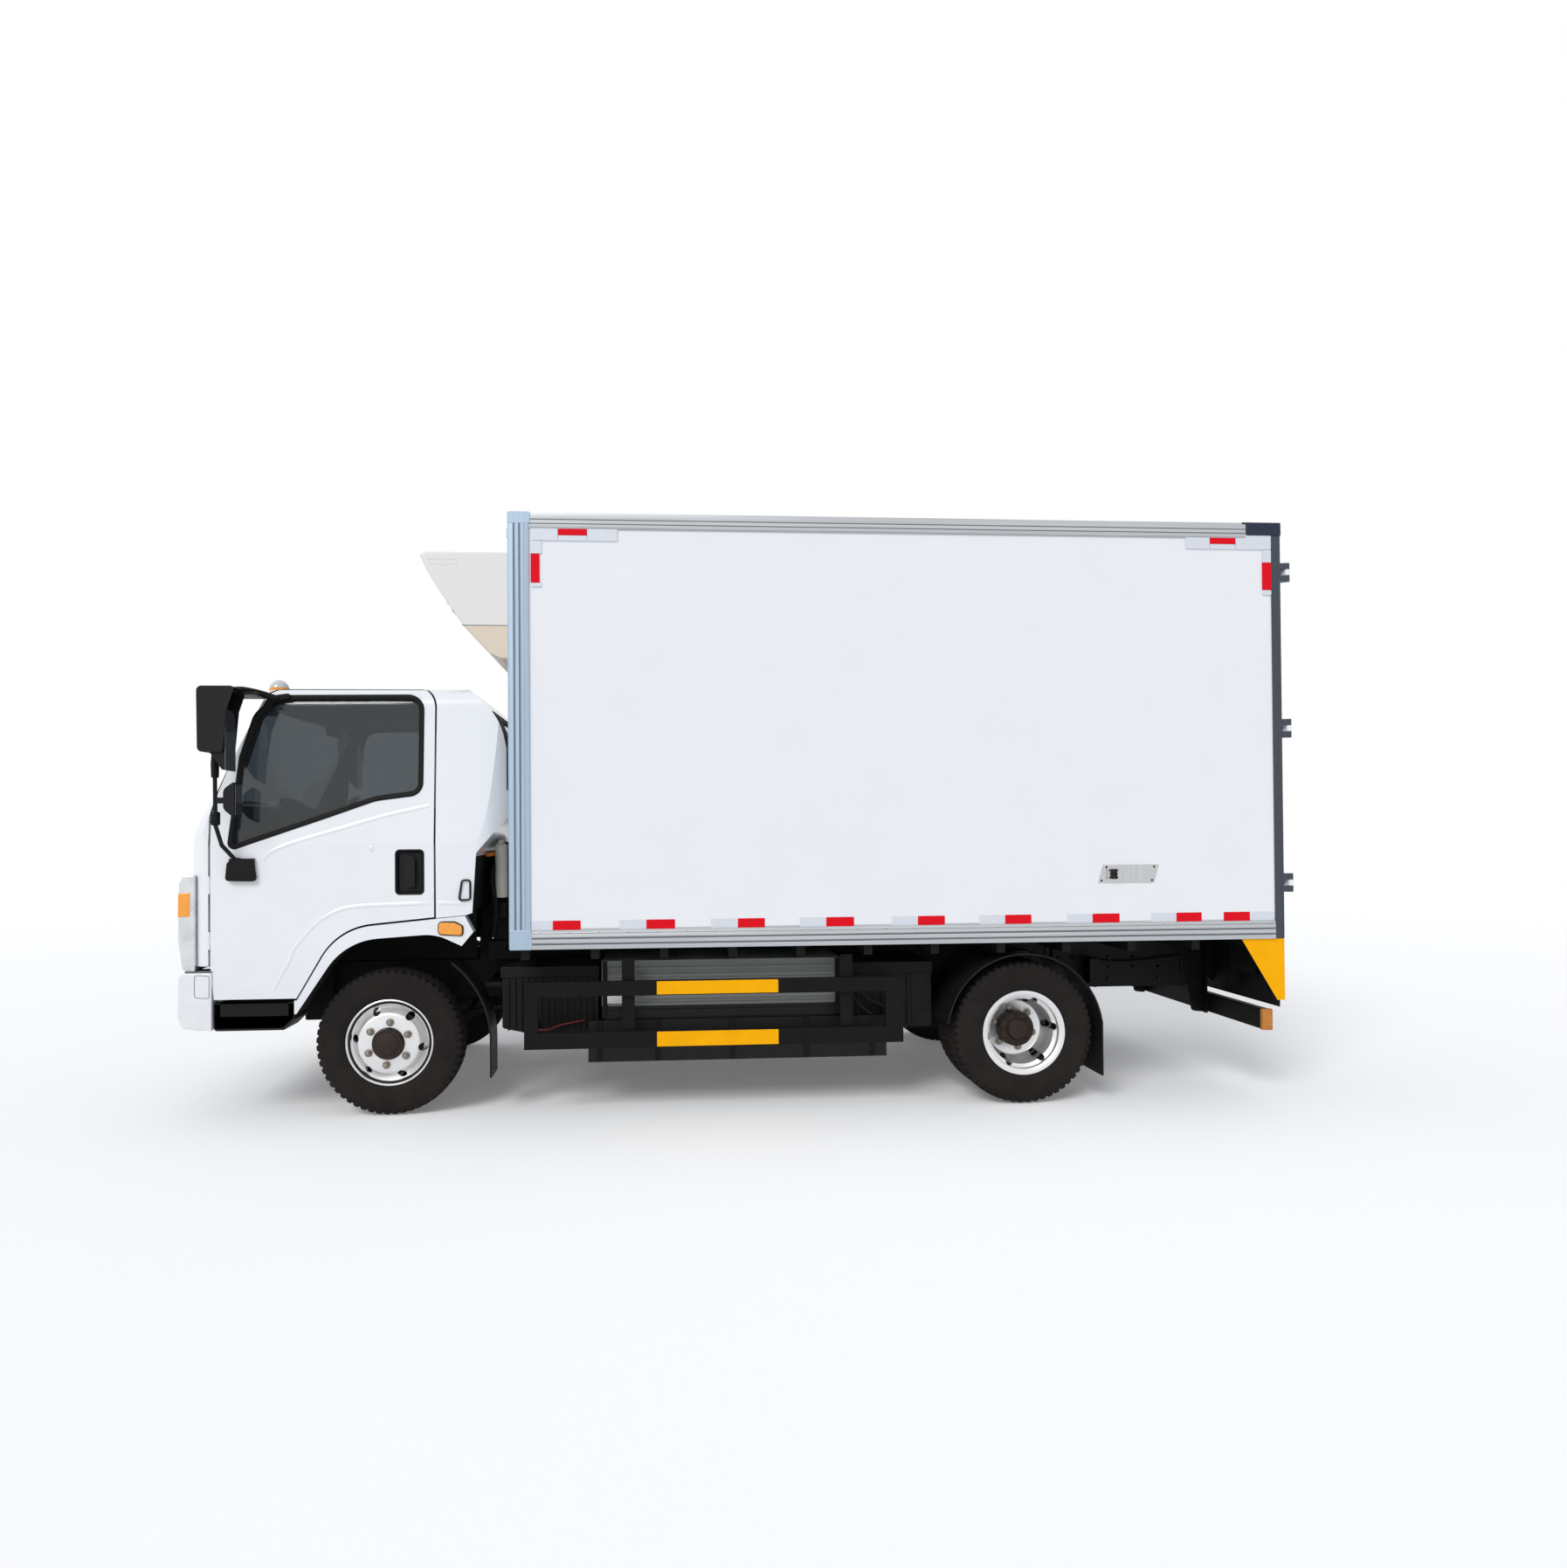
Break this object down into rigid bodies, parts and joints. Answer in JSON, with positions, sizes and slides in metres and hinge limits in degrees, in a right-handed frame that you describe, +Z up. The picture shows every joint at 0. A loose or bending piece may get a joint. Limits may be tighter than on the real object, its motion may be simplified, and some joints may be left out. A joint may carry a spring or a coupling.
{
  "type": "refrigerated truck",
  "caption": "Light forward-control truck with a white insulated load box, refrigeration unit over the tilting cab, steering front axle, twin rear wheels and swinging rear doors",
  "frame": {"origin": "on the ground, under the centre of the bounding box", "axes": "+X to the rear, +Y to the vehicle's right, +Z up; the pictured driver's side is -Y"},
  "size_m": [5.861, 2.46, 3.117],
  "materials": {
    "white_panel": "satin white sandwich panel",
    "white_cab": "gloss white paint",
    "dark_frame": "dark chassis paint",
    "grey_case": "grey ribbed cover",
    "guard_metal": "bare guard rail",
    "edge_metal": "bright edge rail",
    "black_trim": "matt black",
    "clear_lamp": "clear lamp lens",
    "red_lamp": "red lamp lens",
    "pane": "tinted pane",
    "tread": "road tyre",
    "wheel_metal": "polished wheel",
    "axle_metal": "dark casting",
    "seat_cloth": "dark seat cloth",
    "cabin_plastic": "grey moulding",
    "steel_gear": "stainless fittings"
  },
  "bodies": {
    "chassis": {"ladder_frame": "dark_frame", "front_axle_beam": "axle_metal", "leaf_springs": "dark_frame", "rear_axle": "axle_metal", "battery_cases": "grey_case", "side_guards": "guard_metal", "front_bumper": "white_cab", "mudguards": "black_trim", "rear_underrun": "dark_frame", "rear_lamps": "red_lamp", "box_lamps": "clear_lamp", "box_floor": "edge_metal", "box_side_walls": "white_panel", "box_front_wall": "white_panel", "box_roof": "white_panel", "cross_bearers": "dark_frame", "box_edge_rails": "edge_metal", "rear_portal": "steel_gear", "holdback_pads": "steel_gear", "fridge_unit": "white_panel", "evaporator": "white_panel", "cab_support": "dark_frame"},
    "cab": {"cab_shell": "white_cab", "grille_panel": "black_trim", "windscreen": "pane", "rear_window": "pane", "headlamps": "clear_lamp", "arch_flares": "white_cab", "side_steps": "black_trim", "seats": "seat_cloth", "seat_bases": "cabin_plastic", "dashboard": "cabin_plastic", "steering_wheel": "black_trim", "cab_lamps": "clear_lamp"},
    "door_left": {"door_left": "white_cab", "door_handle_left": "black_trim", "door_glass_left": "pane", "mirror_left": "black_trim"},
    "knuckle_left": {"knuckle_left": "axle_metal"},
    "wheel_front_left": {"tyre_front_left": "tread", "rim_front_left": "wheel_metal"},
    "wheel_rear_left": {"tyre_rear_left": "tread", "rim_rear_left": "wheel_metal"},
    "rear_door_left": {"rear_door_left": "white_panel", "rear_lock_left": "steel_gear"},
    "door_right": {"door_right": "white_cab", "door_handle_right": "black_trim", "door_glass_right": "pane", "mirror_right": "black_trim"},
    "knuckle_right": {"knuckle_right": "axle_metal"},
    "wheel_front_right": {"tyre_front_right": "tread", "rim_front_right": "wheel_metal"},
    "wheel_rear_right": {"tyre_rear_right": "tread", "rim_rear_right": "wheel_metal"},
    "rear_door_right": {"rear_door_right": "white_panel", "rear_lock_right": "steel_gear"}
  },
  "joints": [
    {"name": "cab_tilt", "type": "hinge", "parent": "chassis", "child": "cab", "pos_m": [-2.8125, 0, 0.85], "axis": [0, -1, 0], "range_deg": [0, 45]},
    {"name": "door_left_swing", "type": "hinge", "parent": "cab", "child": "door_left", "pos_m": [-2.7845, -0.98, 1.1], "axis": [0, 0, -1], "range_deg": [0, 70]},
    {"name": "steer_left", "type": "hinge", "parent": "chassis", "child": "knuckle_left", "pos_m": [-1.8975, -0.726, 0.38], "axis": [0, 0, 1], "range_deg": [-32, 32]},
    {"name": "wheel_front_left_spin", "type": "hinge", "parent": "knuckle_left", "child": "wheel_front_left", "pos_m": [-1.8975, -0.84, 0.38], "axis": [0, 1, 0], "continuous": true},
    {"name": "wheel_rear_left_spin", "type": "hinge", "parent": "chassis", "child": "wheel_rear_left", "pos_m": [1.4625, -0.83, 0.38], "axis": [0, 1, 0], "continuous": true},
    {"name": "rear_door_left_swing", "type": "hinge", "parent": "chassis", "child": "rear_door_left", "pos_m": [2.9165, -1.095, 2], "axis": [0, 0, -1], "range_deg": [0, 265]},
    {"name": "door_right_swing", "type": "hinge", "parent": "cab", "child": "door_right", "pos_m": [-2.7845, 0.98, 1.1], "axis": [0, 0, 1], "range_deg": [0, 70]},
    {"name": "steer_right", "type": "hinge", "parent": "chassis", "child": "knuckle_right", "pos_m": [-1.8975, 0.726, 0.38], "axis": [0, 0, 1], "range_deg": [-32, 32]},
    {"name": "wheel_front_right_spin", "type": "hinge", "parent": "knuckle_right", "child": "wheel_front_right", "pos_m": [-1.8975, 0.84, 0.38], "axis": [0, 1, 0], "continuous": true},
    {"name": "wheel_rear_right_spin", "type": "hinge", "parent": "chassis", "child": "wheel_rear_right", "pos_m": [1.4625, 0.83, 0.38], "axis": [0, 1, 0], "continuous": true},
    {"name": "rear_door_right_swing", "type": "hinge", "parent": "chassis", "child": "rear_door_right", "pos_m": [2.9165, 1.095, 2], "axis": [0, 0, 1], "range_deg": [0, 265]}
  ],
  "couplings": [
    {"joint": "steer_right", "follows": "steer_left", "ratio": 1}
  ]
}
